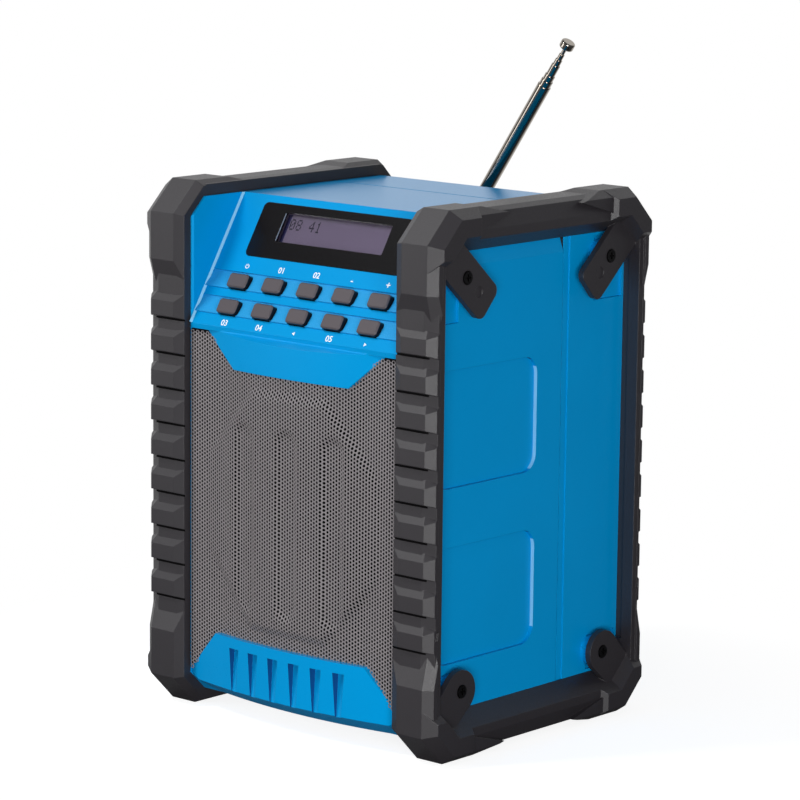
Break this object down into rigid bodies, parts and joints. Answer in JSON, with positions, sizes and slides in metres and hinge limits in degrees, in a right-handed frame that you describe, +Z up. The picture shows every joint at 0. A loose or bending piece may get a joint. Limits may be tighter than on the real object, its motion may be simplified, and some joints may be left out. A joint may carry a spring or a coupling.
{
  "type": "jobsite radio",
  "caption": "Rugged cabinet radio held between two ribbed bumper rings, with a sloped button console, arched speaker grille and swivelling telescopic aerial.",
  "frame": {"origin": "centre of the feet, on the floor", "axes": "+Z up, front towards -Y, +X to the viewer's right seen from the front"},
  "size_m": [0.1832, 0.1579, 0.3149],
  "materials": {
    "blue_shell": "satin moulded ABS",
    "charcoal_rubber": "fine-grained overmoulded rubber",
    "zinc_steel": "zinc plated",
    "seal_rubber": "matt",
    "grille_metal": "grey powder coat",
    "speaker_steel": "black enamel",
    "magnet_ferrite": "ground ferrite",
    "cone_paper": "pressed paper",
    "surround_foam": "soft foam",
    "bezel_black": "semi-gloss",
    "clear_lens": "clear polished",
    "lcd": "liquid crystal behind glass",
    "board_green": "solder mask",
    "key_grey": "fine matt silicone-coated plastic",
    "part_black": "moulded",
    "bright_steel": "bright",
    "cell_jacket": "printed film",
    "chrome": "polished",
    "cloth_black": "woven acoustic cloth"
  },
  "bodies": {
    "cabinet": {"bumper_right": "charcoal_rubber", "bumper_left": "charcoal_rubber", "bumper_screws": "zinc_steel", "front_housing": "blue_shell", "rear_housing": "blue_shell", "housing_seal": "seal_rubber", "housing_screws": "zinc_steel", "speaker_grille": "grille_metal", "dust_cloth": "cloth_black", "speaker_gasket": "seal_rubber", "speaker_basket": "speaker_steel", "speaker_magnet": "magnet_ferrite", "speaker_cone": "cone_paper", "speaker_surround": "surround_foam", "dust_cap": "cone_paper", "speaker_screws": "zinc_steel", "display_bezel": "bezel_black", "display_lens": "clear_lens", "lcd_glass": "lcd", "lcd_board": "board_green", "key_board": "board_green", "key_switches": "part_black", "main_board": "board_green", "board_parts": "part_black", "tuner_can": "bright_steel", "board_screws": "zinc_steel", "battery_cells": "cell_jacket", "battery_contacts": "bright_steel", "door_pins": "bright_steel", "power_socket": "part_black", "audio_socket": "part_black", "port_pin": "bright_steel", "aerial_base": "bezel_black", "base_screws": "zinc_steel"},
    "button_1": {"button_1": "key_grey"},
    "button_2": {"button_2": "key_grey"},
    "button_3": {"button_3": "key_grey"},
    "button_4": {"button_4": "key_grey"},
    "button_5": {"button_5": "key_grey"},
    "button_6": {"button_6": "key_grey"},
    "button_7": {"button_7": "key_grey"},
    "button_8": {"button_8": "key_grey"},
    "button_9": {"button_9": "key_grey"},
    "button_10": {"button_10": "key_grey"},
    "swivel": {"aerial_swivel": "chrome", "swivel_screw": "zinc_steel", "aerial_pin": "bright_steel"},
    "aerial_main": {"aerial_knuckle": "chrome", "aerial_tube": "chrome"},
    "aerial_slide_1": {"aerial_section_1": "chrome"},
    "aerial_slide_2": {"aerial_section_2": "chrome"},
    "aerial_slide_3": {"aerial_section_3": "chrome"},
    "aerial_slide_4": {"aerial_section_4": "chrome"},
    "aerial_slide_5": {"aerial_section_5": "chrome"},
    "aerial_slide_6": {"aerial_rod": "chrome", "aerial_tip": "chrome"},
    "battery_door": {"battery_door": "blue_shell"},
    "port_cover": {"port_cover": "seal_rubber"}
  },
  "joints": [
    {"name": "press_button_1", "type": "slide", "parent": "cabinet", "child": "button_1", "axis": [0, 0.854, -0.5203], "range_m": [0, 0.001], "stiffness_N_per_m": 900, "springref_m": -0.0005},
    {"name": "press_button_2", "type": "slide", "parent": "cabinet", "child": "button_2", "axis": [0, 0.854, -0.5203], "range_m": [0, 0.001], "stiffness_N_per_m": 900, "springref_m": -0.0005},
    {"name": "press_button_3", "type": "slide", "parent": "cabinet", "child": "button_3", "axis": [0, 0.854, -0.5203], "range_m": [0, 0.001], "stiffness_N_per_m": 900, "springref_m": -0.0005},
    {"name": "press_button_4", "type": "slide", "parent": "cabinet", "child": "button_4", "axis": [0, 0.854, -0.5203], "range_m": [0, 0.001], "stiffness_N_per_m": 900, "springref_m": -0.0005},
    {"name": "press_button_5", "type": "slide", "parent": "cabinet", "child": "button_5", "axis": [0, 0.854, -0.5203], "range_m": [0, 0.001], "stiffness_N_per_m": 900, "springref_m": -0.0005},
    {"name": "press_button_6", "type": "slide", "parent": "cabinet", "child": "button_6", "axis": [0, 0.854, -0.5203], "range_m": [0, 0.001], "stiffness_N_per_m": 900, "springref_m": -0.0005},
    {"name": "press_button_7", "type": "slide", "parent": "cabinet", "child": "button_7", "axis": [0, 0.854, -0.5203], "range_m": [0, 0.001], "stiffness_N_per_m": 900, "springref_m": -0.0005},
    {"name": "press_button_8", "type": "slide", "parent": "cabinet", "child": "button_8", "axis": [0, 0.854, -0.5203], "range_m": [0, 0.001], "stiffness_N_per_m": 900, "springref_m": -0.0005},
    {"name": "press_button_9", "type": "slide", "parent": "cabinet", "child": "button_9", "axis": [0, 0.854, -0.5203], "range_m": [0, 0.001], "stiffness_N_per_m": 900, "springref_m": -0.0005},
    {"name": "press_button_10", "type": "slide", "parent": "cabinet", "child": "button_10", "axis": [0, 0.854, -0.5203], "range_m": [0, 0.001], "stiffness_N_per_m": 900, "springref_m": -0.0005},
    {"name": "aerial_swivel", "type": "hinge", "parent": "cabinet", "child": "swivel", "pos_m": [-0.0284, 0.0765, 0.2144], "axis": [0, 1, 0], "range_deg": [-78.9, 31.1]},
    {"name": "aerial_tilt", "type": "hinge", "parent": "swivel", "child": "aerial_main", "pos_m": [-0.0284, 0.0765, 0.2144], "axis": [-0.83, 0, 0.5577], "range_deg": [0, 90]},
    {"name": "extend_1", "type": "slide", "parent": "aerial_main", "child": "aerial_slide_1", "axis": [0.5577, 0, 0.83], "range_m": [0, 0.075]},
    {"name": "extend_2", "type": "slide", "parent": "aerial_slide_1", "child": "aerial_slide_2", "axis": [0.5577, 0, 0.83], "range_m": [0, 0.075]},
    {"name": "extend_3", "type": "slide", "parent": "aerial_slide_2", "child": "aerial_slide_3", "axis": [0.5577, 0, 0.83], "range_m": [0, 0.075]},
    {"name": "extend_4", "type": "slide", "parent": "aerial_slide_3", "child": "aerial_slide_4", "axis": [0.5577, 0, 0.83], "range_m": [0, 0.075]},
    {"name": "extend_5", "type": "slide", "parent": "aerial_slide_4", "child": "aerial_slide_5", "axis": [0.5577, 0, 0.83], "range_m": [0, 0.075]},
    {"name": "extend_6", "type": "slide", "parent": "aerial_slide_5", "child": "aerial_slide_6", "axis": [0.5577, 0, 0.83], "range_m": [0, 0.075]},
    {"name": "door_hinge", "type": "hinge", "parent": "cabinet", "child": "battery_door", "pos_m": [0, 0.073, 0.0162], "axis": [-1, 0, 0], "range_deg": [0, 95]},
    {"name": "cover_hinge", "type": "hinge", "parent": "cabinet", "child": "port_cover", "pos_m": [0.038, 0.0729, 0.1432], "axis": [1, 0, 0], "range_deg": [0, 110]}
  ]
}
